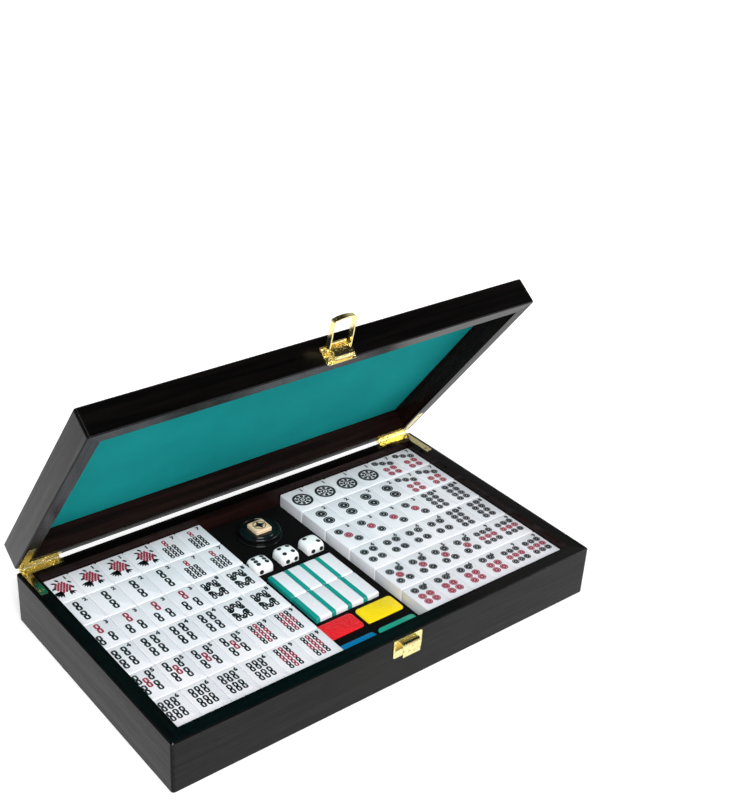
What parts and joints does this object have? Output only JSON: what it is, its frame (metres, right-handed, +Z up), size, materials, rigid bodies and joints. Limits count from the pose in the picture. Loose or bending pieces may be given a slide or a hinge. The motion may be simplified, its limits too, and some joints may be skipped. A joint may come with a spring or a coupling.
{
  "type": "mahjong set in a wooden case",
  "caption": "Hinged wooden case, open, holding layered mahjong tiles, a centre tray of counters, dice and a wind marker, with a lever latch and bail.",
  "frame": {"origin": "centre of the case's underside", "axes": "+X to the right seen from the front, +Y to the back where the hinges are, +Z up"},
  "size_m": [0.362, 0.2302, 0.2424],
  "materials": {
    "case_wood": "dark espresso stain under a satin lacquer",
    "floor_felt": "thin black felt",
    "lid_cloth": "flat teal cloth",
    "tile_front": "white melamine",
    "tile_back": "teal melamine",
    "tray_board": "black flocked board",
    "die_white": "white, polished",
    "marker_stand": "black, polished",
    "marker_wood": "plain light wood",
    "counter_red": "moulded red",
    "counter_yellow": "moulded yellow",
    "counter_blue": "moulded blue",
    "counter_green": "moulded green",
    "gilt_metal": "pale gilt plating on pressed steel"
  },
  "bodies": {
    "base": {"base_back_wall": "case_wood", "base_floor_lining": "floor_felt", "base_floor_panel": "case_wood", "base_front_wall": "case_wood", "base_left_wall": "case_wood", "base_right_wall": "case_wood", "blue_counters": "counter_blue", "catch_hook": "gilt_metal", "catch_hook_nails": "gilt_metal", "centre_tray": "tray_board", "die_1": "die_white", "die_2": "die_white", "die_3": "die_white", "green_counters": "counter_green", "hinge_base_screws": "gilt_metal", "left_hinge_base_leaf": "gilt_metal", "left_hinge_pin": "gilt_metal", "left_lower_tile_backs": "tile_back", "left_lower_tile_fronts": "tile_front", "left_upper_tile_backs": "tile_back", "left_upper_tile_fronts": "tile_front", "marker_base": "marker_stand", "marker_cube": "marker_wood", "red_counters": "counter_red", "right_hinge_base_leaf": "gilt_metal", "right_hinge_pin": "gilt_metal", "right_lower_tile_backs": "tile_back", "right_lower_tile_fronts": "tile_front", "right_upper_tile_backs": "tile_back", "right_upper_tile_fronts": "tile_front", "spare_tile_backs": "tile_back", "spare_tile_fronts": "tile_front", "yellow_counters": "counter_yellow"},
    "lid": {"hinge_lid_screws": "gilt_metal", "latch_bail_rivets": "gilt_metal", "latch_lever_pin": "gilt_metal", "latch_plate": "gilt_metal", "latch_plate_nails": "gilt_metal", "left_hinge_lid_leaf": "gilt_metal", "lid_back_wall": "case_wood", "lid_front_wall": "case_wood", "lid_left_wall": "case_wood", "lid_lining": "lid_cloth", "lid_right_wall": "case_wood", "lid_top_panel": "case_wood", "right_hinge_lid_leaf": "gilt_metal"},
    "lever": {"latch_lever": "gilt_metal"},
    "bail": {"latch_bail": "gilt_metal"}
  },
  "joints": [
    {"name": "lid_hinge", "type": "hinge", "parent": "base", "child": "lid", "pos_m": [0, 0.106, 0.04075], "axis": [-1, 0, 0], "range_deg": [-53.5, 41.5]},
    {"name": "latch_lever", "type": "hinge", "parent": "lid", "child": "lever", "pos_m": [0.0034, -0.01909, 0.21341], "axis": [1, 0, 0], "range_deg": [0, 110]},
    {"name": "latch_bail", "type": "hinge", "parent": "lid", "child": "bail", "pos_m": [0.0034, -0.01418, 0.21704], "axis": [-1, 0, 0], "range_deg": [-115, 55]}
  ]
}
